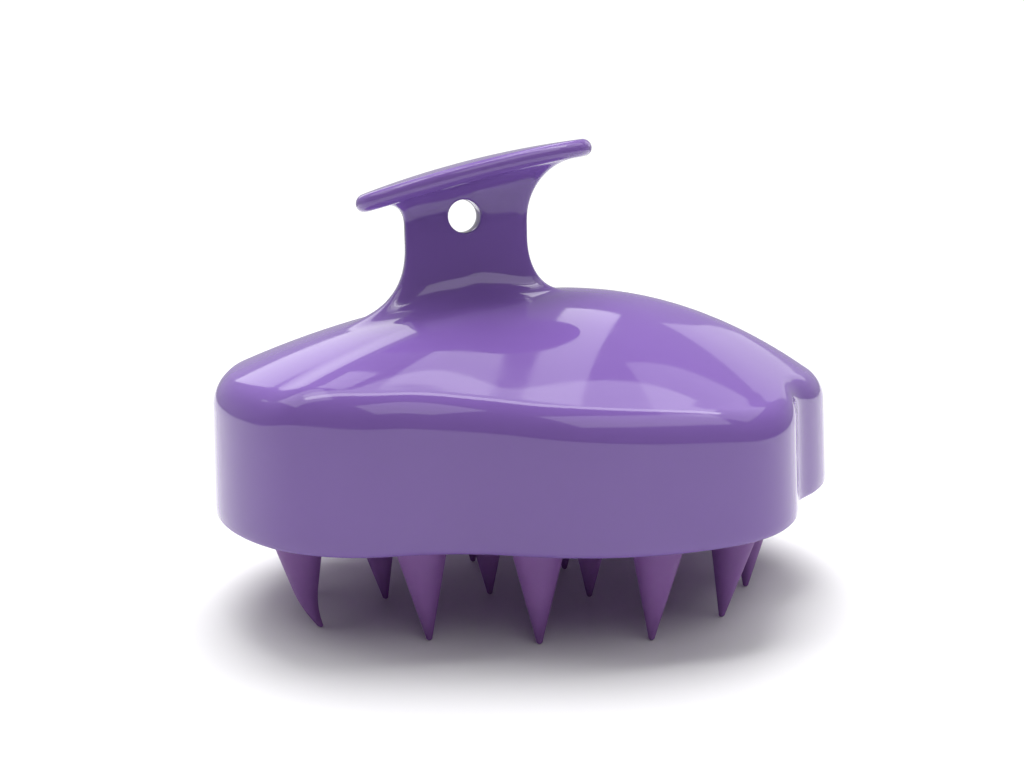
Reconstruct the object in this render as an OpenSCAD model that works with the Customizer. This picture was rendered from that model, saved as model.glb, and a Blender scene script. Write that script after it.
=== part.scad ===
// Hand-held massage and grooming brush: a domed, lobed shell with a T handle,
// over a soft pad of conical teeth that is clipped in on a stiff carrier plate.
// It stands on the tips of its teeth: Z = 0 is the ground, +Z is up, +X is the nose
// of the oval, and the origin is below the middle of the outline.

/* [Shell outline] */
// Length of the lobed outline at the skirt's lower edge
length = 95; // [94:0.5:97]
// Width across the two long side lobes
width = 73.4; // [73:0.2:75]
// Radius of the end lobe at the nose (+X)
nose_r = 22.6; // [22:0.2:23.4]
// Radius of the end lobe at the tail (-X)
tail_r = 32; // [30:0.5:33]
// Radius of the round front corner of each side lobe
corner_r = 19.2; // [18.6:0.2:20]
// Radius of the long sweep of each side lobe
sweep_r = 44; // [42:1:48]
// Radius of the two rear side lobes
cheek_r = 21.8; // [21.2:0.1:22.2]

/* [Shell profile] */
// Height of the skirt's lower edge above the ground
skirt_z = 14.6; // [13.5:0.1:15]
// Height of the near-vertical part of the skirt
skirt_h = 14.4; // [13:0.2:16]
// Draft of the skirt, in degrees
draft = 2.6; // [1:0.1:4]
// Radius of the soft shoulder between skirt and dome
shoulder_r = 5.6; // [4.5:0.1:6.5]
// Slope of the dome where it meets the shoulder, in degrees
rim_slope = 31; // [26:1:36]
// Rise of the dome above the shoulder
dome_rise = 11.2; // [9:0.2:13]
// Distance of the dome's summit ahead of the middle
summit_x = 5.5; // [0:0.5:8]
// How far the shoulder rises at the tail and falls at the nose
rim_sway = 1.5; // [0:0.1:1.8]
// Wall thickness of the shell
wall = 2; // [1.8:0.1:2.2]

/* [Handle] */
// Middle of the stem along X
stem_x = -9.1; // [-11.5:0.2:-6.1]
// Width of the stem at its waist
stem_w = 18.2; // [16:0.2:20]
// Thickness of the stem
stem_t = 4.2; // [3.6:0.1:5]
// Radius of the hanging hole
hole_r = 2.4; // [2:0.1:3]
// Distance of the hanging hole behind the middle of the stem
hole_back = 0.5; // [0:0.1:1]
// Height of the hanging hole
hole_z = 56.3; // [55:0.1:57]
// Length of the oval finger plate
plate_l = 36; // [33:0.5:38]
// Width of the oval finger plate
plate_w = 19; // [16:0.5:22]
// Thickness of the finger plate
plate_t = 2.5; // [2.2:0.1:3]
// Middle of the finger plate along X
plate_x = -7.6; // [-8.6:0.1:-6.6]
// Height of the middle of the finger plate
plate_z = 62.5; // [61.8:0.1:63.4]
// Tilt of the finger plate, nose end up, in degrees
plate_tilt = 13; // [9:0.2:15]
// Height of the arch along the finger plate
plate_arch = 0.8; // [0:0.1:1.5]

/* [Tooth pad] */
// Height of the pad's face above the ground
pad_z = 16.6; // [16.4:0.1:17.2]
// Thickness of the silicone sheet
sheet_t = 2; // [1.6:0.1:2.4]
// Radius of a tooth where it leaves the sheet
tooth_r = 4.6; // [4.2:0.1:4.7]
// Radius of a tooth's blunt tip
tip_r = 0.45; // [0.4:0.05:0.8]
// Height of the silicone rim above the pad's face
rim_h = 6.4; // [6:0.1:8]
// Thickness of the silicone rim
rim_t = 1.4; // [1.2:0.1:1.6]
// How far the rim's lip reaches over the carrier
lip_w = 1.6; // [1:0.1:2.5]
// Gap between the rim and the shell
rim_gap = 0.3; // [0.25:0.05:0.4]

/* [Carrier] */
// Thickness of the carrier plate
carrier_t = 2.6; // [2.2:0.1:3]
// Radius of the shell's four posts
post_r = 2.4; // [2:0.1:2.5]
// Running gap between a post and its socket
post_gap = 0.15; // [0.1:0.05:0.25]
// Wall of a socket
socket_wall = 1.6; // [1.4:0.1:2]
// Height of a socket above the carrier's face
socket_h = 8; // [6:0.5:9]
// Thickness of the carrier's ribs
rib_t = 1.4; // [1:0.1:2]
// Height of the carrier's ribs above its plate
rib_h = 3; // [2:0.5:4]

/* [Hidden] */
$fn = 48;

VIOLET = [0.49, 0.37, 0.68];
SOFT_VIOLET = [0.38, 0.25, 0.47];
INNER_VIOLET = [0.42, 0.33, 0.60];

// ---- outline: round lobes that touch from inside, or are joined by hollow fillets ----
nose_c = [length / 2 - nose_r, 0];
tail_c = [tail_r - length / 2, 0];
sweep_c = [10.2, width / 2 - sweep_r];
// the corner lobe touches the long sweep from inside, at this direction
corner_dir = 78;
corner_c = sweep_c + (sweep_r - corner_r) * [cos(corner_dir), sin(corner_dir)];
// the rear side lobe touches the tail lobe from inside, at this direction
cheek_dir = 140;
cheek_c = tail_c + (tail_r - cheek_r) * [cos(cheek_dir), sin(cheek_dir)];
// hollow fillets: nose to corner, sweep to cheek
notch_r = 12;
waist_r = 40;

function heading(v) = atan2(v[1], v[0]);
// centre of the circle of radius q that touches two circles from outside
function hollow_c(c1, r1, c2, r2, q) =
    let (
        gap = c2 - c1,
        dist = norm(gap),
        a = r1 + q,
        b = r2 + q,
        along = (a * a - b * b + dist * dist) / (2 * dist),
        up = sqrt(a * a - along * along),
        e = gap / dist
    )
    c1 + along * e + up * [e[1], -e[0]] * (gap[0] < 0 ? 1 : -1);
function arc(c, r, from, to, n) =
    [for (i = [0 : n - 1]) let (t = from + (to - from) * i / n) c + r * [cos(t), sin(t)]];

notch_c = hollow_c(nose_c, nose_r, corner_c, corner_r, notch_r);
waist_c = hollow_c(sweep_c, sweep_r, cheek_c, cheek_r, waist_r);

// the +Y half of the outline, moved inward by d
function half_outline(d) = concat(
    arc(nose_c, nose_r - d, 0, heading(notch_c - nose_c), 7),
    arc(notch_c, notch_r + d, heading(nose_c - notch_c) + 360, heading(corner_c - notch_c) + 360, 4),
    arc(corner_c, corner_r - d, heading(notch_c - corner_c), corner_dir, 8),
    arc(sweep_c, sweep_r - d, corner_dir, heading(waist_c - sweep_c), 7),
    arc(waist_c, waist_r + d, heading(sweep_c - waist_c) + 360, heading(cheek_c - waist_c) + 360, 5),
    arc(cheek_c, cheek_r - d, heading(waist_c - cheek_c), cheek_dir, 8),
    arc(tail_c, tail_r - d, cheek_dir, 180, 6)
);
function outline(d) =
    let (h = half_outline(d), n = len(h))
    concat(h, [[d - length / 2, 0]], [for (i = [n - 1 : -1 : 1]) [h[i][0], -h[i][1]]]);

// ---- shell surfaces as stacks of rings ----
function level(pts, z) = [for (p = pts) [p[0], p[1], z]];
// the shoulder's rise above its mean height, degrees of a wave per millimetre of length
SWAY_WAVE = 2.8;
function sway(x) = -rim_sway * sin(SWAY_WAVE * x);
function swayed(pts, z) = [for (p = pts) [p[0], p[1], z + sway(p[0])]];
draft_in = skirt_h * tan(draft);
shoulder_z = skirt_z + skirt_h;
rim_in = draft_in + shoulder_r * (1 - sin(rim_slope));
rim_z = shoulder_z + shoulder_r * cos(rim_slope);
summit_z = rim_z + dome_rise;
edge_r = 0.8;
DOME_STEPS = 9;
function dome_ring(d, rho, top) =
    [for (p = outline(d))
        [summit_x + rho * (p[0] - summit_x), rho * p[1], top - (dome_rise - sway(p[0])) * rho * rho]];
// the shell's outer face for inset 0, or a face that lies deeper in its wall
function skin(inset) =
    let (
        wall_top = draft_in + inset,
        round_r = shoulder_r - inset,
        rim = rim_in + inset * sin(rim_slope)
    )
    concat(
        [swayed(outline(wall_top), shoulder_z)],
        [for (a = [78 : -12 : 42])
            swayed(outline(wall_top + round_r * (1 - sin(a))), shoulder_z + round_r * cos(a))],
        [for (i = [DOME_STEPS : -1 : 1]) dome_ring(rim, i / DOME_STEPS, summit_z - inset)]
    );
function backwards(v) = [for (i = [len(v) - 1 : -1 : 0]) v[i]];
shell_rings = concat(
    backwards(skin(0)),
    [level(outline(0), skirt_z + edge_r)],
    [level(outline(0.3 * edge_r), skirt_z + 0.3 * edge_r)],
    [level(outline(edge_r), skirt_z)],
    [level(outline(wall), skirt_z)],
    skin(wall)
);

// closed skin over a stack of equal rings, with a fan on each end
function middle(ring) = [for (axis = [0 : 2]) [for (p = ring) p[axis]] * [for (p = ring) 1 / len(ring)]];
module loft(rings) {
    n = len(rings[0]);
    m = len(rings);
    pts = concat([for (r = rings) each r], [middle(rings[0]), middle(rings[m - 1])]);
    sides = [for (k = [0 : m - 2], i = [0 : n - 1])
        let (a = k * n + i, b = k * n + (i + 1) % n)
        each [[a, b, b + n], [a, b + n, a + n]]];
    first = [for (i = [0 : n - 1]) [n * m, (i + 1) % n, i]];
    last = [for (i = [0 : n - 1]) [n * m + 1, (m - 1) * n + i, (m - 1) * n + (i + 1) % n]];
    polyhedron(pts, concat(sides, first, last), convexity = 6);
}

// ---- handle ----
// height of the finger plate's middle surface above a point x, y
function plate_mid(u) = plate_arch * (0.5 - 4 * u * u / (plate_l * plate_l));
PLATE_SIDES = 40;
function plate_ring(shrink, lift) = [for (i = [0 : PLATE_SIDES - 1])
    let (
        t = 360 * i / PLATE_SIDES,
        u = (plate_l / 2 - shrink) * cos(t),
        v = (plate_w / 2 - shrink) * sin(t),
        w = plate_mid(u) + lift
    )
    [plate_x + u * cos(plate_tilt) - w * sin(plate_tilt), v,
     plate_z + u * sin(plate_tilt) + w * cos(plate_tilt)]];
plate_r = plate_t / 2;
plate_rings = concat(
    [plate_ring(plate_w * 0.4, -plate_r)],
    [for (a = [-90 : 30 : 90]) plate_ring(plate_r * (1 - cos(a)), plate_r * sin(a))],
    [plate_ring(plate_w * 0.4, plate_r)]
);

// the stem's foot is buried in the dome, its neck ends the lower flare and its head starts the upper
foot_z = 38.5;
neck_z = 51;
head_z = 54.6;
// how far the stem grows at its foot and at its head: tail side, nose side, each flank
FOOT_FLARE = [10, 8, 6];
HEAD_FLARE = [3.5, 7, 1.5];
// corner sharpness of the stem's squared oval along its width and its thickness
WIDE_POWER = 0.35;
THICK_POWER = 0.8;
STEM_SIDES = 32;
STEM_STEPS = 14;
// quarter-round flare of radius r, as it grows over its rise
function flare(r, t) = r * (1 - sqrt(max(0, 1 - t * t)));
function squared(value, power) = sign(value) * pow(abs(value), power);
function stem_ring(k) =
    let (
        s = k / STEM_STEPS,
        z = foot_z + s * (plate_z - foot_z),
        low = max(0, min(1, (neck_z - z) / (neck_z - foot_z))),
        high = max(0, min(1, (z - head_z) / (plate_z - head_z))),
        grow = [for (i = [0 : 2]) flare(FOOT_FLARE[i], low) + flare(HEAD_FLARE[i], high)],
        half = [stem_w / 2, stem_w / 2, stem_t / 2] + grow,
        tilt = tan(plate_tilt) * s * s
    )
    [for (i = [0 : STEM_SIDES - 1])
        let (
            t = 360 * (i + 0.5) / STEM_SIDES,
            x = squared(cos(t), WIDE_POWER) * (cos(t) > 0 ? half[1] : half[0]),
            y = squared(sin(t), THICK_POWER) * half[2]
        )
        [stem_x + x, y, z + tilt * (x + stem_x - plate_x)]];
stem_rings = [for (k = [0 : STEM_STEPS]) stem_ring(k)];

// ---- posts and sockets ----
POSTS = [[16, 14], [16, -14], [-19, 13], [-19, -13]];
// the posts stop a little above the carrier's plate when the pad is home
post_foot_z = pad_z + sheet_t + 1.8;
// height of the middle of the dome's wall, with the dome taken as two half ovals
function wall_z(p) =
    let (
        run = length / 2 - rim_in + (p[0] > summit_x ? -summit_x : summit_x),
        along = (p[0] - summit_x) / run,
        across = p[1] / (width / 2 - rim_in),
        reach = norm([along, across]),
        rim_x = summit_x + (p[0] - summit_x) / reach
    )
    summit_z - wall / 2 - (dome_rise - sway(rim_x)) * reach * reach;

module shell() {
    color(VIOLET)
    difference() {
        union() {
            loft(shell_rings);
            loft(backwards(stem_rings));
            loft(backwards(plate_rings));
            for (p = POSTS)
                translate([p[0], p[1], post_foot_z])
                cylinder(r = post_r, h = wall_z(p) - post_foot_z);
        }
        translate([stem_x - hole_back, 0, hole_z])
        rotate([90, 0, 0])
        cylinder(r = hole_r, h = 4 * stem_t, center = true);
    }
}

// ---- teeth ----
// teeth on the +Y side, tip and root; those off the middle line are mirrored
OUTER_TEETH = [
    [[-34.5, 0], [-36.9, 0]],
    [[-34.8, 13], [-36.2, 13]],
    [[-19.2, 21.2], [-20.1, 21.5]],
    [[-5, 26.1], [-5.1, 26.3]],
    [[9.9, 28.7], [10.8, 28.9]],
    [[22.1, 23.8], [24, 24.3]],
    [[30.2, 14.1], [31.3, 13.6]],
    [[37.5, 0], [39.4, 0]]
];
INNER_TEETH = [
    [[-23.6, 5], [-25.2, 5.2]],
    [[-8.1, 7.2], [-8.6, 7.4]],
    [[6.1, 12], [6.4, 12.2]],
    [[19.5, 8], [20.4, 8.4]],
    [[5.5, 0], [5.8, 0]]
];
function mirrored(t) = [for (p = t) [p[0], -p[1]]];
function both_sides(list) = concat(list, [for (t = list) if (t[0][1] > 0) mirrored(t)]);

// how deep a tooth's root sits in the sheet
root_in = 1;
// one tooth, a cone from its blunt tip on the ground up to its root in the sheet
module tooth(tip, root) {
    run = [root[0] - tip[0], root[1] - tip[1], pad_z + root_in];
    span = norm(run);
    lean = acos(run[2] / span);
    translate([tip[0], tip[1], tip_r * sin(lean)])
    rotate([0, 0, heading(run)])
    rotate([0, lean, 0])
    cylinder(r1 = tip_r, r2 = tooth_r, h = span);
}

module tooth_pad() {
    face = wall + rim_gap;
    rim_out = face + draft_in * rim_h / skirt_h;
    color(SOFT_VIOLET)
    union() {
        translate([0, 0, pad_z])
        linear_extrude(sheet_t)
        polygon(outline(face));
        translate([0, 0, pad_z])
        linear_extrude(rim_h)
        difference() {
            polygon(outline(rim_out));
            polygon(outline(rim_out + rim_t));
        }
        translate([0, 0, pad_z + sheet_t + carrier_t])
        linear_extrude(rim_h - sheet_t - carrier_t)
        difference() {
            polygon(outline(rim_out));
            polygon(outline(rim_out + rim_t + lip_w));
        }
        for (t = both_sides(concat(OUTER_TEETH, INNER_TEETH)))
            tooth(t[0], t[1]);
    }
}

// upright rib on the carrier, from one post to another
module rib(from, to, z) {
    translate([from[0], from[1], z + carrier_t / 2])
    rotate([0, 0, heading(to - from)])
    translate([0, -rib_t / 2, 0])
    cube([norm(to - from), rib_t, carrier_t / 2 + rib_h]);
}

module carrier() {
    back_z = pad_z + sheet_t;
    socket_r = post_r + post_gap + socket_wall;
    edge = wall + rim_gap + draft_in * rim_h / skirt_h + rim_t;
    color(INNER_VIOLET)
    difference() {
        union() {
            translate([0, 0, back_z])
            linear_extrude(carrier_t)
            polygon(outline(edge));
            for (p = POSTS)
                translate([p[0], p[1], back_z])
                cylinder(r = socket_r, h = carrier_t + socket_h);
            for (pair = [[0, 1], [0, 2], [1, 3], [2, 3]])
                rib(POSTS[pair[0]], POSTS[pair[1]], back_z);
        }
        for (p = POSTS)
            translate([p[0], p[1], back_z + 0.6])
            cylinder(r = post_r + post_gap, h = carrier_t + socket_h);
    }
}

shell();
tooth_pad();
carrier();
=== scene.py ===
"""Looks of the hand-held massage and grooming brush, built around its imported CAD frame.

The shell is one closed skin, lofted from the skirt over the dome, up the stem and round the
finger plate. The tooth pad is rebuilt the same way, from rings of points, and the carrier keeps
its CAD shape. Lengths below are millimetres in the frame's own axes, and become metres when a
mesh is made.
"""

import math

import bpy
import numpy as np
from mathutils import Matrix, Vector


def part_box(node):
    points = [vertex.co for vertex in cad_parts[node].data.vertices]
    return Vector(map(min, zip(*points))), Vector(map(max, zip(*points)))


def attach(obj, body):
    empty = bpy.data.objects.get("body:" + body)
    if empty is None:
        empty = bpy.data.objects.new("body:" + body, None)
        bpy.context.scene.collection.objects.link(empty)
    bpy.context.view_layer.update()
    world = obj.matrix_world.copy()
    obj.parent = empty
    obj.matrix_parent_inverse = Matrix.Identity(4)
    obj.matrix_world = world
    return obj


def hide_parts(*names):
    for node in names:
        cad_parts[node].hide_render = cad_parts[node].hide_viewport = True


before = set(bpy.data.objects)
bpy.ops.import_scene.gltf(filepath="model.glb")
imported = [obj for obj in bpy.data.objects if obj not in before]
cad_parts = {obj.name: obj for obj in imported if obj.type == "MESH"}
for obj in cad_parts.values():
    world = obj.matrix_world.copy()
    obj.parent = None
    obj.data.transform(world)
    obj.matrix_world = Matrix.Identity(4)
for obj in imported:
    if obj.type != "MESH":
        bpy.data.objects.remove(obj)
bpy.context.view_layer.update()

MM = 0.001
TAU = 2 * math.pi


def box_mm(node):
    """Lowest and highest corners of a CAD node at rest."""
    low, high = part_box(node)
    return np.array(low) / MM, np.array(high) / MM


SHELL_LOW, SHELL_HIGH = box_mm("shell")
LENGTH = SHELL_HIGH[0] - SHELL_LOW[0]
WIDTH = SHELL_HIGH[1] - SHELL_LOW[1]
SKIRT_Z = SHELL_LOW[2]
CARRIER_Z = box_mm("carrier")[0][2]
PAD_TOP_Z = box_mm("tooth_pad")[1][2]

# ---------------------------------------------------------------- outline
NOSE_R, TAIL_R, CORNER_R, SWEEP_R, CHEEK_R = 22.6, 32.0, 19.2, 44.0, 21.8
NOTCH_R, WAIST_R = 12.0, 40.0
# how far the outline's joints are softened, from the skirt's foot to the dome's rim
FOOT_SOFT, SHOULDER_SOFT, RIM_SOFT = 1.2, 1.7, 2.7
SWEEP_X, CORNER_DIR, CHEEK_DIR = 10.2, math.radians(78), math.radians(140)
SIDES = 360
ANGLES = np.arange(SIDES) * TAU / SIDES


def heading(v):
    """Angle of a direction."""
    return math.atan2(v[1], v[0])


def hollow_centre(c1, r1, c2, r2, q):
    """Centre of the circle of radius q that touches two circles from outside."""
    gap = c2 - c1
    dist = np.hypot(*gap)
    a, b = r1 + q, r2 + q
    along = (a * a - b * b + dist * dist) / (2 * dist)
    up = math.sqrt(a * a - along * along)
    e = gap / dist
    side = 1 if gap[0] < 0 else -1
    return c1 + along * e + up * side * np.array([e[1], -e[0]])


def toward(angle):
    """Direction of an angle."""
    return np.array([math.cos(angle), math.sin(angle)])


def lobes(notch_r):
    """Arcs of the +Y half of the outline, nose to tail: centre, radius, hollow or not, from, to."""
    nose = np.array([LENGTH / 2 - NOSE_R, 0.0])
    tail = np.array([TAIL_R - LENGTH / 2, 0.0])
    sweep = np.array([SWEEP_X, WIDTH / 2 - SWEEP_R])
    corner = sweep + (SWEEP_R - CORNER_R) * toward(CORNER_DIR)
    cheek = tail + (TAIL_R - CHEEK_R) * toward(CHEEK_DIR)
    notch = hollow_centre(nose, NOSE_R, corner, CORNER_R, notch_r)
    waist = hollow_centre(sweep, SWEEP_R, cheek, CHEEK_R, WAIST_R)
    return [
        (nose, NOSE_R, False, 0.0, heading(notch - nose)),
        (notch, notch_r, True, heading(nose - notch) + TAU, heading(corner - notch) + TAU),
        (corner, CORNER_R, False, heading(notch - corner), CORNER_DIR),
        (sweep, SWEEP_R, False, CORNER_DIR, heading(waist - sweep)),
        (waist, WAIST_R, True, heading(sweep - waist) + TAU, heading(cheek - waist) + TAU),
        (cheek, CHEEK_R, False, heading(waist - cheek), CHEEK_DIR),
        (tail, TAIL_R, False, CHEEK_DIR, math.pi),
    ]


def outline_points(inset, notch_r=NOTCH_R, per_arc=60):
    """The whole outline, moved inward, as a dense closed run of points."""
    half = []
    for centre, radius, hollow, start, stop in lobes(notch_r):
        r = radius + inset if hollow else radius - inset
        t = start + (stop - start) * np.arange(per_arc)[:, None] / per_arc
        half.append(centre + r * np.hstack([np.cos(t), np.sin(t)]))
    half = np.vstack(half)
    end = np.array([[inset - LENGTH / 2, 0.0]])
    return np.vstack([half, end, half[:0:-1] * [1, -1]])


def polar(points, angles, centre=(0.0, 0.0)):
    """Distance from a centre to a closed run of points, in each direction."""
    v = points - np.array(centre)
    t = np.arctan2(v[:, 1], v[:, 0]) % TAU
    order = np.argsort(t)
    return np.interp(angles % TAU, t[order], np.hypot(v[:, 0], v[:, 1])[order], period=TAU)


def smooth_round(values, spread):
    """Gaussian smoothing of values spaced evenly round a circle; spread in steps."""
    n = len(values)
    k = np.fft.fftfreq(n) * TAU
    return np.real(np.fft.ifft(np.fft.fft(values) * np.exp(-0.5 * (k * spread) ** 2)))


def ring_xy(inset, spread=FOOT_SOFT):
    """The outline moved inward, one point for each direction, its joints softened a little."""
    r = smooth_round(polar(outline_points(inset), ANGLES), spread)
    return np.column_stack([r * np.cos(ANGLES), r * np.sin(ANGLES)])


def round_xy(sides):
    """A circle of radius 1."""
    t = np.arange(sides) * TAU / sides
    return np.column_stack([np.cos(t), np.sin(t)])


# ---------------------------------------------------------------- mesh helpers
def lift(xy, z):
    """Flat points raised to a height."""
    return np.column_stack([xy, np.broadcast_to(z, len(xy))])


def grid_faces(rings, sides):
    """Quads between neighbouring rings, and a fan to one more point beyond each end."""
    faces = []
    for k in range(rings - 1):
        for i in range(sides):
            j = (i + 1) % sides
            faces.append((k * sides + i, k * sides + j, (k + 1) * sides + j, (k + 1) * sides + i))
    first, last = rings * sides, rings * sides + 1
    top = (rings - 1) * sides
    for i in range(sides):
        j = (i + 1) % sides
        faces.append((first, j, i))
        faces.append((last, top + i, top + j))
    return faces


def mesh_object(name, verts, faces, material):
    """A smooth-shaded object from points in millimetres."""
    mesh = bpy.data.meshes.new(name)
    mesh.from_pydata([tuple(v) for v in np.asarray(verts) * MM], [], faces)
    mesh.update()
    obj = bpy.data.objects.new(name, mesh)
    bpy.context.scene.collection.objects.link(obj)
    obj.data.materials.append(material)
    mesh.shade_smooth()
    return obj


def loft(name, rings, material):
    """Closed skin over rings of equal length, with a fan on each end."""
    rings = [np.asarray(r) for r in rings]
    sides = len(rings[0])
    verts = np.vstack(rings + [rings[0].mean(0)[None], rings[-1].mean(0)[None]])
    return mesh_object(name, verts, grid_faces(len(rings), sides), material)


def join(name, objects):
    """One object made of several."""
    verts, faces, start = [], [], 0
    for o in objects:
        co = np.zeros(len(o.data.vertices) * 3)
        o.data.vertices.foreach_get("co", co)
        verts.append(co.reshape(-1, 3) / MM)
        faces += [tuple(start + v for v in p.vertices) for p in o.data.polygons]
        start += len(o.data.vertices)
    material = objects[0].data.materials[0]
    for o in objects:
        bpy.data.objects.remove(o)
    return mesh_object(name, np.vstack(verts), faces, material)


def apply_modifier(obj, kind, **settings):
    """Puts a modifier's result into the object's own mesh."""
    mod = obj.modifiers.new(kind.lower(), kind)
    for key, value in settings.items():
        setattr(mod, key, value)
    bpy.context.view_layer.update()
    done = obj.evaluated_get(bpy.context.evaluated_depsgraph_get())
    mesh = bpy.data.meshes.new_from_object(done)
    obj.modifiers.clear()
    obj.data = mesh


def sharp_over(obj, degrees):
    """Keeps edges sharp where the faces turn by more than an angle."""
    obj.data.set_sharp_from_angle(angle=math.radians(degrees))


def bezier(p0, p1, p2, p3, t):
    return (1 - t) ** 3 * p0 + 3 * (1 - t) ** 2 * t * p1 + 3 * (1 - t) * t * t * p2 + t**3 * p3


def smoothstep(t):
    t = np.clip(t, 0, 1)
    return t * t * (3 - 2 * t)


# ---------------------------------------------------------------- camera
EYE = Vector((-35.4, -153.7, 60.25)) * MM
EYE_YAW, EYE_DOWN, EYE_ROLL = 12.06, 10.71, -1.03
FOCAL, SENSOR, NEAR = 36.65, 36.0, 5.0


def make_camera():
    """A camera where the photograph was taken from."""
    data = bpy.data.cameras.new("camera")
    data.lens = FOCAL
    data.sensor_width = SENSOR
    data.clip_start = NEAR * MM
    cam = bpy.data.objects.new("camera", data)
    bpy.context.scene.collection.objects.link(cam)
    yaw = Matrix.Rotation(math.radians(-EYE_YAW), 4, "Z")
    pitch = Matrix.Rotation(math.radians(90 - EYE_DOWN), 4, "X")
    roll = Matrix.Rotation(math.radians(EYE_ROLL), 4, "Z")
    cam.matrix_world = Matrix.Translation(EYE) @ yaw @ pitch @ roll
    bpy.context.scene.camera = cam


make_camera()


# ---------------------------------------------------------------- materials
def new_material(name):
    """A material with its nodes, its links and its shader."""
    mat = bpy.data.materials.new(name)
    mat.use_nodes = True
    return mat, mat.node_tree.nodes, mat.node_tree.links, mat.node_tree.nodes["Principled BSDF"]


def noise(nodes, links, coords, scale, detail=2.0, roughness=0.5):
    n = nodes.new("ShaderNodeTexNoise")
    n.inputs["Scale"].default_value = scale
    n.inputs["Detail"].default_value = detail
    n.inputs["Roughness"].default_value = roughness
    links.new(coords, n.inputs["Vector"])
    return n.outputs["Fac"]


def ramp(nodes, links, value, stops):
    """Colour ramp over a value; stops are (place, colour)."""
    r = nodes.new("ShaderNodeValToRGB")
    r.color_ramp.elements[0].position, r.color_ramp.elements[0].color = stops[0]
    r.color_ramp.elements[1].position, r.color_ramp.elements[1].color = stops[-1]
    for place, colour in stops[1:-1]:
        r.color_ramp.elements.new(place).color = colour
    links.new(value, r.inputs["Fac"])
    return r.outputs["Color"]


def map_range(nodes, links, value, low, high, to_low, to_high):
    m = nodes.new("ShaderNodeMapRange")
    for key, number in (("From Min", low), ("From Max", high), ("To Min", to_low), ("To Max", to_high)):
        m.inputs[key].default_value = number
    links.new(value, m.inputs["Value"])
    return m.outputs["Result"]


def bump(nodes, links, height, strength, distance, normal=None):
    b = nodes.new("ShaderNodeBump")
    b.inputs["Strength"].default_value = strength
    b.inputs["Distance"].default_value = distance
    links.new(height, b.inputs["Height"])
    if normal is not None:
        links.new(normal, b.inputs["Normal"])
    return b.outputs["Normal"]


def moulded_plastic(name, light, dark, rough_low, rough_high):
    """Polished moulded plastic: faint flow marks in its colour, hair-fine wear in its gloss."""
    mat, nodes, links, shader = new_material(name)
    coords = nodes.new("ShaderNodeTexCoord").outputs["Object"]
    flow = noise(nodes, links, coords, scale=35.0, detail=3.0)
    links.new(ramp(nodes, links, flow, [(0.35, dark), (0.65, light)]), shader.inputs["Base Color"])
    haze = noise(nodes, links, coords, scale=220.0, detail=4.0, roughness=0.6)
    rough = map_range(nodes, links, haze, 0.35, 0.7, rough_low, rough_high)
    links.new(rough, shader.inputs["Roughness"])
    ripple = noise(nodes, links, coords, scale=60.0, detail=1.0)
    grain = noise(nodes, links, coords, scale=1600.0)
    normal = bump(nodes, links, ripple, strength=0.05, distance=0.4 * MM)
    normal = bump(nodes, links, grain, strength=0.02, distance=0.04 * MM, normal=normal)
    links.new(normal, shader.inputs["Normal"])
    shader.inputs["IOR"].default_value = 1.47
    shader.inputs["Subsurface Weight"].default_value = 0.06
    shader.inputs["Subsurface Radius"].default_value = (1.0, 0.6, 1.2)
    shader.inputs["Subsurface Scale"].default_value = 1.2 * MM
    return mat


def silicone(name, light, dark):
    """Soft matte silicone: dusty, fine-grained and a little translucent."""
    mat, nodes, links, shader = new_material(name)
    coords = nodes.new("ShaderNodeTexCoord").outputs["Object"]
    cloud = noise(nodes, links, coords, scale=90.0, detail=4.0)
    links.new(ramp(nodes, links, cloud, [(0.3, dark), (0.7, light)]), shader.inputs["Base Color"])
    dust = noise(nodes, links, coords, scale=900.0, detail=3.0, roughness=0.7)
    links.new(map_range(nodes, links, dust, 0.3, 0.75, 0.46, 0.62), shader.inputs["Roughness"])
    grain = noise(nodes, links, coords, scale=2500.0)
    normal = bump(nodes, links, grain, strength=0.15, distance=0.05 * MM)
    links.new(normal, shader.inputs["Normal"])
    shader.inputs["IOR"].default_value = 1.42
    shader.inputs["Subsurface Weight"].default_value = 0.35
    shader.inputs["Subsurface Radius"].default_value = (1.0, 0.45, 1.0)
    shader.inputs["Subsurface Scale"].default_value = 2.5 * MM
    return mat


# each plastic's colour drifts between two close shades
VIOLET, VIOLET_DEEP = (0.182, 0.1, 0.348, 1), (0.17, 0.092, 0.327, 1)
INNER_VIOLET, INNER_DEEP = (0.30, 0.19, 0.50, 1), (0.27, 0.17, 0.46, 1)
SOFT_VIOLET, SOFT_DEEP = (0.22, 0.095, 0.315, 1), (0.192, 0.081, 0.28, 1)
SHELL_MAT = moulded_plastic("shell_plastic", VIOLET, VIOLET_DEEP, 0.05, 0.1)
CARRIER_MAT = moulded_plastic("carrier_plastic", INNER_VIOLET, INNER_DEEP, 0.35, 0.5)
PAD_MAT = silicone("pad_silicone", SOFT_VIOLET, SOFT_DEEP)

# ---------------------------------------------------------------- shell
SKIRT_H, DRAFT = 14.4, math.radians(2.6)
SHOULDER_R, RIM_SLOPE = 5.6, math.radians(31)
DOME_RISE, SUMMIT_X, WALL, EDGE_R = 11.2, 5.5, 2.0, 0.8
DRAFT_IN = SKIRT_H * math.tan(DRAFT)
SHOULDER_Z = SKIRT_Z + SKIRT_H
RIM_IN = DRAFT_IN + SHOULDER_R * (1 - math.sin(RIM_SLOPE))
RIM_Z = SHOULDER_Z + SHOULDER_R * math.cos(RIM_SLOPE)
SUMMIT_Z = RIM_Z + DOME_RISE

SUMMIT = np.array([SUMMIT_X, 0.0])
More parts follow.
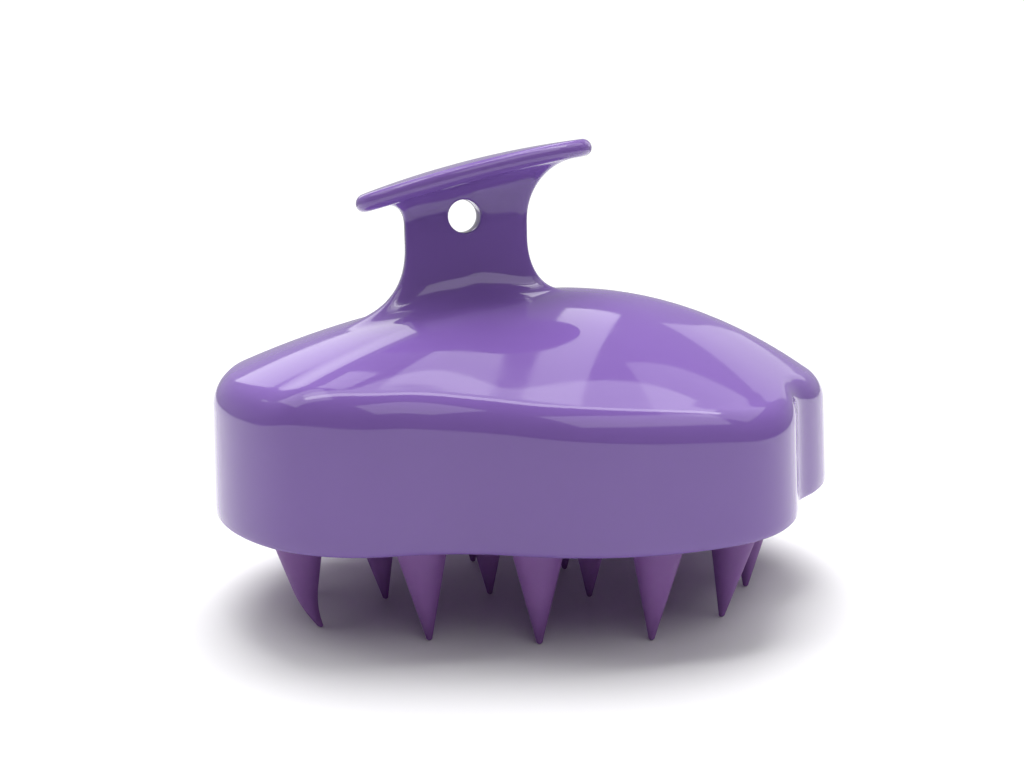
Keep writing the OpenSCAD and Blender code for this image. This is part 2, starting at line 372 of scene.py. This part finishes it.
# the bowl bridges the notches, and is rounder towards the nose than towards the tail
BRIDGE_R, NOSE_SOFT, TAIL_SOFT = 60.0, 13, 6
NOSE_FROM, NOSE_BLEND = -0.1, 0.6
PLAIN_REACH = polar(outline_points(RIM_IN, BRIDGE_R), ANGLES, SUMMIT)
NOSE_SHARE = smoothstep((np.cos(ANGLES) - NOSE_FROM) / NOSE_BLEND)
NOSE_REACH, TAIL_REACH = smooth_round(PLAIN_REACH, NOSE_SOFT), smooth_round(PLAIN_REACH, TAIL_SOFT)
HULL_REACH = NOSE_SHARE * NOSE_REACH + (1 - NOSE_SHARE) * TAIL_REACH
# the shoulder rises a little at the tail and falls at the nose
RIM_SWAY, SWAY_WAVE, SWAY_SOFT = 1.5, math.radians(2.8), 7
HULL_X = SUMMIT_X + HULL_REACH * np.cos(ANGLES)
HULL_SWAY = smooth_round(-RIM_SWAY * np.sin(SWAY_WAVE * HULL_X), SWAY_SOFT)
# each rear side lobe swells out of the dome along a fold that runs in from the tail's corner;
# the first two numbers are shares of the way out, the others lengths
FOLD_FOOT = np.array([-39.0, 18.5])
SWELL_FROM, SWELL_GROW = 0.35, 0.6
SWELL, SWELL_RAMP, SWELL_FLAT, SWELL_FADE = 0.9, 6.0, 7.0, 12.0


def swell(xy):
    """Height of the rear side lobes above the plain bowl."""
    run = FOLD_FOOT - SUMMIT
    length = np.hypot(*run)
    run = run / length
    v = np.column_stack([xy[:, 0], np.abs(xy[:, 1])]) - SUMMIT
    inward = smoothstep((v @ run / length - SWELL_FROM) / SWELL_GROW)
    side = v @ np.array([run[1], -run[0]])
    fade = 1 - smoothstep((side - SWELL_FLAT) / SWELL_FADE)
    return SWELL * inward * smoothstep(side / SWELL_RAMP) * fade


def dome_height(xy, drop=0.0):
    """Height of the dome's face over points: a plain bowl and its swellings, less a drop."""
    v = xy - SUMMIT
    turn = np.arctan2(v[:, 1], v[:, 0]) % TAU
    rho = np.hypot(v[:, 0], v[:, 1]) / np.interp(turn, ANGLES, HULL_REACH, period=TAU)
    fall = DOME_RISE - np.interp(turn, ANGLES, HULL_SWAY, period=TAU)
    return SUMMIT_Z - drop - fall * rho**2 + swell(xy)


STEM_X, STEM_HALF_W, STEM_HALF_T = -9.1, 9.1, 2.1
# the stem's section, and what it flares to; reach to the nose, to the tail, across, and squareness
STEM_OVAL = (STEM_HALF_W, STEM_HALF_W, STEM_HALF_T, 4.5)
FOOT_OVAL = (STEM_HALF_W + 6.0, STEM_HALF_W + 11.0, STEM_HALF_T + 6.5, 2.2)
HEAD_OVAL = (STEM_HALF_W + 7.4, STEM_HALF_W + 3.6, STEM_HALF_T + 2.6, 2.6)
# where the foot ends and how deep the head is, on the nose side, the tail side and the flanks
NECK_Z, HEAD_DEPTH = (53.2, 52.2, 50.5), (7.6, 3.6, 3.0)
# how far the flares' handles reach, as shares of the run out and of the rise
PULL_OUT, PULL_UP = 0.62, 0.6
SLOPE_STEP = 0.5
HOLE_R, HOLE_X, HOLE_Z, HOLE_SOFT = 2.4, -9.6, 56.3, 0.35
CUTTER_PROUD, CUTTER_END, WELD = 0.02, 3.0, 0.006
PLATE_X, PLATE_Z, PLATE_TILT = -7.6, 62.5, math.radians(13.0)
PLATE_HALF_L, PLATE_HALF_W, PLATE_R, PLATE_ARCH, PLATE_CROWN = 18.0, 9.5, 1.25, 0.8, 0.3


def squared_oval(a_nose, a_tail, b, power):
    """Polar radius of a superellipse whose nose and tail halves differ."""
    a = np.where(np.cos(ANGLES) > 0, a_nose, a_tail)
    terms = np.abs(np.cos(ANGLES) / a) ** power + np.abs(np.sin(ANGLES) / b) ** power
    return terms ** (-1 / power)


def by_side(nose, tail, flank):
    """A value that turns smoothly from the nose side over the flanks to the tail side."""
    c = np.cos(ANGLES)
    return flank + np.where(c > 0, nose - flank, tail - flank) * c * c


def around_stem(radius):
    """Points round the stem's axis, one for each direction."""
    return np.column_stack([STEM_X + radius * np.cos(ANGLES), radius * np.sin(ANGLES)])


def plate_point(u, v, w):
    """From the finger plate's own axes to the frame's."""
    c, s = math.cos(PLATE_TILT), math.sin(PLATE_TILT)
    w = w + PLATE_ARCH * (0.5 - (u / PLATE_HALF_L) ** 2)
    return np.column_stack([PLATE_X + u * c - w * s, v, PLATE_Z + u * s + w * c])


def plate_oval(shrink):
    """The finger plate's outline in its own axes, moved inward."""
    u = (PLATE_HALF_L - shrink) * np.cos(ANGLES)
    v = (PLATE_HALF_W - shrink) * np.sin(ANGLES)
    return u, v


RIM = ring_xy(RIM_IN, RIM_SOFT)
ROUND_Z = dome_height(RIM) - SHOULDER_R * math.cos(RIM_SLOPE)


def skirt_rings():
    """From the skirt's inner foot round its edge and up to the start of the shoulder."""
    rings = []
    low = SKIRT_Z + EDGE_R
    for a in np.linspace(0, math.pi, 9):
        rings.append(lift(ring_xy(WALL / 2 * (1 + math.cos(a))), low - EDGE_R * math.sin(a)))
    for s in np.linspace(0, 1, 12)[1:]:
        soft = FOOT_SOFT + (SHOULDER_SOFT - FOOT_SOFT) * s
        rings.append(lift(ring_xy(DRAFT_IN * s, soft), low + (ROUND_Z - low) * s))
    return rings


def shoulder_rings(inset, count):
    """The quarter-round shoulder, up to the rim; inset moves it into the wall."""
    rings = []
    for a in np.linspace(math.pi / 2, RIM_SLOPE, count)[1:]:
        d = DRAFT_IN + inset + (SHOULDER_R - inset) * (1 - math.sin(a))
        done = (math.pi / 2 - a) / (math.pi / 2 - RIM_SLOPE)
        soft = SHOULDER_SOFT + (RIM_SOFT - SHOULDER_SOFT) * done
        rings.append(lift(ring_xy(d, soft), ROUND_Z + (SHOULDER_R - inset) * math.cos(a)))
    return rings


def outer_dome_rings(foot):
    """Over the dome, from its rim in to the stem's foot."""
    rings = []
    for s in np.linspace(0, 1, 34)[1:]:
        xy = RIM + (foot - RIM) * s
        rings.append(lift(xy, dome_height(xy)))
    return rings


def inner_dome_rings():
    """The dome's inner face, from its rim in to the summit."""
    rim = ring_xy(RIM_IN + WALL * math.sin(RIM_SLOPE), RIM_SOFT)
    rings = []
    for s in np.linspace(1, 0.05, 14):
        xy = SUMMIT + (rim - SUMMIT) * s
        rings.append(lift(xy, dome_height(xy, WALL)))
    return rings


def foot_rings(stem, foot):
    """The stem's flared foot, tangent to the dome where it starts."""
    base = lift(around_stem(foot), dome_height(around_stem(foot)))
    run = (foot - stem) * PULL_OUT
    slope = (dome_height(around_stem(foot - SLOPE_STEP)) - base[:, 2]) / SLOPE_STEP
    knee = lift(around_stem(foot - run), base[:, 2] + slope * run)
    neck_z = by_side(*NECK_Z)
    top = lift(around_stem(stem), neck_z)
    below = lift(around_stem(stem), neck_z - PULL_UP * (neck_z - base[:, 2]))
    return [bezier(base, knee, below, top, t) for t in np.linspace(0, 1, 20)[1:]]


def head_rings(stem):
    """The stem's head, flaring out under the finger plate, and where it meets the plate."""
    reach = squared_oval(*HEAD_OVAL)
    u = (STEM_X + reach * np.cos(ANGLES) - PLATE_X) / math.cos(PLATE_TILT)
    v = reach * np.sin(ANGLES)
    edge = plate_point(u, v, -PLATE_R)
    depth = by_side(*HEAD_DEPTH)
    stem_xy = around_stem(stem)
    start_z = PLATE_Z + (stem_xy[:, 0] - PLATE_X) * math.tan(PLATE_TILT) - PLATE_R - depth
    start = lift(stem_xy, start_z)
    above = lift(stem_xy, start_z + PULL_UP * depth)
    back_u = u - PULL_OUT * (reach - stem) * np.cos(ANGLES)
    back_v = v - PULL_OUT * (reach - stem) * np.sin(ANGLES)
    knee = plate_point(back_u, back_v, -PLATE_R)
    rings = [bezier(start, above, knee, edge, t) for t in np.linspace(0, 1, 18)]
    return rings, (u, v)


def plate_rings(head_u, head_v):
    """The finger plate: out under it from the stem's head, round its edge, and over its top."""
    rings = []
    edge_u, edge_v = plate_oval(PLATE_R)
    for s in np.linspace(0, 1, 7)[1:]:
        u, v = head_u + (edge_u - head_u) * s, head_v + (edge_v - head_v) * s
        rings.append(plate_point(u, v, -PLATE_R))
    for a in np.linspace(-math.pi / 2, math.pi / 2, 19)[1:]:
        u, v = plate_oval(PLATE_R * (1 - math.cos(a)))
        rings.append(plate_point(u, v, PLATE_R * math.sin(a)))
    for s in np.linspace(1, 0.04, 14)[1:]:
        rings.append(plate_point(edge_u * s, edge_v * s, PLATE_R + PLATE_CROWN * (1 - s * s)))
    return rings


def hole_cutter():
    """A round bar with flared ends, which leaves a bore with soft rims."""
    reach = STEM_HALF_T + CUTTER_PROUD
    wide = HOLE_R + HOLE_SOFT
    profile = [(wide, -reach - CUTTER_END), (wide, -reach)]
    for a in np.radians([15, 35, 55, 75, 90]):
        profile.append((wide - HOLE_SOFT * math.sin(a), HOLE_SOFT * (1 - math.cos(a)) - reach))
    profile += [(r, -y) for r, y in reversed(profile)]
    circle = round_xy(96)
    rings = []
    for r, y in profile:
        x, z = HOLE_X + r * circle[:, 0], HOLE_Z - r * circle[:, 1]
        rings.append(np.column_stack([x, np.full(len(x), y), z]))
    return loft("cutter", rings, SHELL_MAT)


POSTS = [(16, 14), (16, -14), (-19, 13), (-19, -13)]
POST_R, POST_EDGE, POST_GAP = 2.4, 0.4, 1.8


def post_rings(place):
    """One post of the shell, from its rounded foot up into the dome."""
    circle = round_xy(48)
    rings = []
    for a in np.radians([0, 30, 60, 90]):
        radius = POST_R - POST_EDGE * (1 - math.sin(a))
        height = CARRIER_Z + POST_GAP + POST_EDGE * (1 - math.cos(a))
        rings.append(lift(place + radius * circle, height))
    top = place + POST_R * circle
    rings.append(lift(top, dome_height(top, WALL / 2)))
    return rings


def build_shell():
    """One skin from the summit of the inner face, down and round the skirt, up to the finger plate."""
    stem, foot = squared_oval(*STEM_OVAL), squared_oval(*FOOT_OVAL)
    head, (head_u, head_v) = head_rings(stem)
    rings = inner_dome_rings()[::-1]
    rings += shoulder_rings(WALL, 7)[::-1]
    rings.append(lift(ring_xy(DRAFT_IN + WALL), ROUND_Z))
    rings += skirt_rings()
    rings += shoulder_rings(0, 14)
    rings += outer_dome_rings(around_stem(foot))
    rings += foot_rings(stem, foot)
    low, high = rings[-1], head[0]
    rings += [low + (high - low) * s for s in np.linspace(0, 1, 8)[1:-1]]
    rings += head
    rings += plate_rings(head_u, head_v)
    shell = loft("shell_moulding", rings, SHELL_MAT)
    cutter = hole_cutter()
    apply_modifier(shell, "BOOLEAN", object=cutter, operation="DIFFERENCE", solver="EXACT")
    bpy.data.objects.remove(cutter)
    apply_modifier(shell, "WELD", merge_threshold=WELD * MM)
    shell.data.shade_smooth()
    sharp_over(shell, 50)
    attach(shell, "handle_shell")
    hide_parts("shell")
    posts = [loft("post", post_rings(np.array(place)), SHELL_MAT) for place in POSTS]
    posts = join("shell_posts", posts)
    sharp_over(posts, 50)
    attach(posts, "handle_shell")


build_shell()

# ---------------------------------------------------------------- tooth pad
# teeth on the +Y side, tip and root; those off the middle line are mirrored
TEETH = [
    ((-34.5, 0), (-36.9, 0)),
    ((-34.8, 13), (-36.2, 13)),
    ((-19.2, 21.2), (-20.1, 21.5)),
    ((-5, 26.1), (-5.1, 26.3)),
    ((9.9, 28.7), (10.8, 28.9)),
    ((22.1, 23.8), (24, 24.3)),
    ((30.2, 14.1), (31.3, 13.6)),
    ((37.5, 0), (39.4, 0)),
    ((-23.6, 5), (-25.2, 5.2)),
    ((-8.1, 7.2), (-8.6, 7.4)),
    ((6.1, 12), (6.4, 12.2)),
    ((19.5, 8), (20.4, 8.4)),
    ((5.5, 0), (5.8, 0)),
]
# the tooth whose tip is bent aside, which way, and how far up
HOOKED_TIP, HOOK_BY, HOOK_H = (-34.8, -13), (1.4, 0.0), 6.0
NECK_R, TIP_R = 4.3, 0.45
# a tooth's root widens over this height, in a straight part and a curved one, and ends in the sheet
ROOT_H, ROOT_LEAN, ROOT_FLARE, ROOT_SINK, ROOT_DEEP = 1.4, 0.35, 0.9, 0.05, 0.6
PAD_FACE_Z, CARRIER_T, SKIN_GAP = SKIRT_Z + 2.0, 2.6, 0.02
RIM_GAP, RIM_T, LIP_W, LIP_EDGE, PAD_EDGE = 0.3, 1.4, 1.6, 0.3, 0.5
# the sheet's flat middle starts this far in, and a small ring closes it
BORDER_W, MIDDLE_IN, MIDDLE_SHARE = 4.5, 12.0, 0.12


def tooth_rings(tip, root):
    """One cone, from its round tip on the ground up to its flared root in the sheet."""
    bend = np.array(HOOK_BY if tip == HOOKED_TIP else (0.0, 0.0))
    tip, root = np.array(tip), np.array(root)
    circle = round_xy(40)
    profile = []
    for a in np.radians([12, 35, 60, 80]):
        profile.append((TIP_R * math.sin(a), TIP_R * (1 - math.cos(a))))
    rise = (NECK_R - TIP_R) / (PAD_FACE_Z - TIP_R)
    for h in np.linspace(TIP_R, PAD_FACE_Z - ROOT_H, 16):
        profile.append((TIP_R + rise * (h - TIP_R), h))
    neck, neck_h = profile[-1]
    for s in (0.25, 0.5, 0.75, 0.9, 1.0):
        wider = ROOT_LEAN * s + ROOT_FLARE * (1 - math.sqrt(1 - s * s))
        profile.append((neck + wider, neck_h + (ROOT_H + ROOT_SINK) * s))
    profile.append((neck + ROOT_LEAN + ROOT_FLARE, PAD_FACE_Z + ROOT_DEEP))
    rings = []
    for r, h in profile:
        hook = max(0.0, 1 - h / HOOK_H) ** 2
        rings.append(lift(tip + (root - tip) * h / PAD_FACE_Z + bend * hook + r * circle, h))
    return rings


def all_teeth():
    """The teeth of both sides."""
    return TEETH + [((tx, -ty), (rx, -ry)) for (tx, ty), (rx, ry) in TEETH if ty > 0]


def pad_body_rings():
    """The silicone sheet, its rim and the lip over the carrier, as one closed run of rings."""
    face = WALL + RIM_GAP
    rim = face + DRAFT_IN * (PAD_TOP_Z - PAD_FACE_Z) / SKIRT_H
    under, over = CARRIER_Z - SKIN_GAP, CARRIER_Z + CARRIER_T + SKIN_GAP
    lip = rim + RIM_T + LIP_W
    steps = [(MIDDLE_IN, PAD_FACE_Z), (face + BORDER_W, PAD_FACE_Z)]
    for a in np.radians([0, 30, 60, 90]):
        edge = PAD_EDGE * (1 - math.sin(a))
        steps.append((face + edge, PAD_FACE_Z + PAD_EDGE * (1 - math.cos(a))))
    steps += [(rim, PAD_TOP_Z - PAD_EDGE), (rim + 0.4 * PAD_EDGE, PAD_TOP_Z - 0.3 * PAD_EDGE)]
    steps += [(rim + PAD_EDGE, PAD_TOP_Z), (lip - LIP_EDGE, PAD_TOP_Z), (lip, PAD_TOP_Z - LIP_EDGE)]
    steps += [(lip, over), (rim + RIM_T, over), (rim + RIM_T, under), (MIDDLE_IN, under)]
    rings = [lift(ring_xy(inset), z) for inset, z in steps]
    middle = ring_xy(MIDDLE_IN) * MIDDLE_SHARE
    return [lift(middle, PAD_FACE_Z)] + rings + [lift(middle, under)]


def build_pad():
    """The silicone moulding: the sheet and its teeth."""
    pieces = [loft("sheet", pad_body_rings(), PAD_MAT)]
    pieces += [loft("tooth", tooth_rings(tip, root), PAD_MAT) for tip, root in all_teeth()]
    pad = join("silicone_tooth_pad", pieces)
    sharp_over(pad, 55)
    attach(pad, "tooth_unit")
    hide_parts("tooth_pad")


build_pad()

# the carrier keeps its CAD shape
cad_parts["carrier"].data.materials.clear()
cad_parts["carrier"].data.materials.append(CARRIER_MAT)


# ---------------------------------------------------------------- floor and light
FLOOR_HALF = 430.0


def make_floor():
    """A pale sheet that ends where the backdrop is just as white."""
    mat, nodes, links, shader = new_material("floor_white")
    coords = nodes.new("ShaderNodeTexCoord").outputs["Object"]
    mottle = noise(nodes, links, coords, scale=6.0)
    shades = [(0.3, (0.69, 0.69, 0.695, 1)), (0.7, (0.71, 0.71, 0.715, 1))]
    links.new(ramp(nodes, links, mottle, shades), shader.inputs["Base Color"])
    shader.inputs["Roughness"].default_value = 0.6
    corners = [(-1, -1), (1, -1), (1, 1), (-1, 1)]
    verts = [(FLOOR_HALF * x, FLOOR_HALF * y, 0.0) for x, y in corners]
    mesh_object("floor", verts, [(0, 1, 2, 3)], mat)


def direction(azimuth, elevation):
    """Unit vector to a place given in degrees round from +Y to +X, and up."""
    a, e = math.radians(azimuth), math.radians(elevation)
    return Vector((math.sin(a) * math.cos(e), math.cos(a) * math.cos(e), math.sin(e)))


PANEL_AWAY, PANEL_AIM_Z = 700.0, 30.0


def panel(name, azimuth, elevation, size, radiance):
    """A softbox facing the brush, as seen from it."""
    away = direction(azimuth, elevation)
    data = bpy.data.lights.new(name, "AREA")
    data.shape = "RECTANGLE"
    data.size, data.size_y = size[0] * MM, size[1] * MM
    data.energy = radiance * math.pi * data.size * data.size_y
    light = bpy.data.objects.new(name, data)
    bpy.context.scene.collection.objects.link(light)
    light.location = (Vector((0, 0, PANEL_AIM_Z)) + PANEL_AWAY * away) * MM
    light.rotation_euler = away.to_track_quat("Z", "Y").to_euler()


def sky_glow(azimuth, elevation, spread, strength):
    """A broad even light from behind and above, too wide to leave a highlight of its own."""
    data = bpy.data.lights.new("sky_glow", "SUN")
    data.energy = strength
    data.angle = math.radians(spread)
    light = bpy.data.objects.new("sky_glow", data)
    bpy.context.scene.collection.objects.link(light)
    light.rotation_euler = direction(azimuth, elevation).to_track_quat("Z", "Y").to_euler()
    light.visible_glossy = False


def mix_colour(nodes, links, share, low, high):
    """From one colour to another; each is a plain colour or a node's output."""
    m = nodes.new("ShaderNodeMix")
    m.data_type = "RGBA"
    links.new(share, m.inputs["Factor"])
    for key, value in (("A", low), ("B", high)):
        if isinstance(value, tuple):
            m.inputs[key].default_value = value
        else:
            links.new(value, m.inputs[key])
    return m.outputs["Result"]


WHITE, FRONT = (1, 1, 1, 1), (0.1, 0.1, 0.1, 1)
BACK_LOW, BACK_HIGH = (0.4, 0.4, 0.41, 1), (0.3, 0.3, 0.31, 1)
WORLD_STRENGTH = 1.1


def make_world():
    """A dim room around a plain white backdrop, a little lighter behind the brush."""
    world = bpy.data.worlds.new("studio")
    bpy.context.scene.world = world
    world.use_nodes = True
    nodes, links = world.node_tree.nodes, world.node_tree.links
    sky = nodes["Background"]
    split = nodes.new("ShaderNodeSeparateXYZ")
    links.new(nodes.new("ShaderNodeTexCoord").outputs["Generated"], split.inputs["Vector"])
    back = ramp(nodes, links, split.outputs["Z"], [(0.12, BACK_LOW), (0.3, BACK_HIGH)])
    behind = map_range(nodes, links, split.outputs["Y"], 0.0, 0.5, 0.0, 1.0)
    room = mix_colour(nodes, links, behind, FRONT, back)
    seen = nodes.new("ShaderNodeLightPath").outputs["Is Camera Ray"]
    links.new(mix_colour(nodes, links, seen, room, WHITE), sky.inputs["Color"])
    sky.inputs["Strength"].default_value = WORLD_STRENGTH


def make_light():
    """Softboxes where the reflections on the dome call for them, and a broad even light."""
    bpy.context.scene.view_settings.view_transform = "Standard"
    make_world()
    panel("back_left", -12, 25, (280, 220), 1.2)
    panel("left_high", -26, 64, (120, 200), 2.1)
    panel("back_right", 22.5, 60, (125, 600), 2.1)
    panel("right", 47, 21, (250, 240), 0.68)
    panel("overhead", 0, 83, (1100, 135), 2.2)
    panel("strip", 180, 88, (1200, 100), 5.5)
    panel("front_top", 155, 52, (820, 350), 1.9)
    panel("side_left", -80, 50, (450, 450), 1.8)
    panel("side_right", 85, 50, (450, 450), 1.2)
    sky_glow(10, 62, 50, 3.8)


make_floor()
make_light()
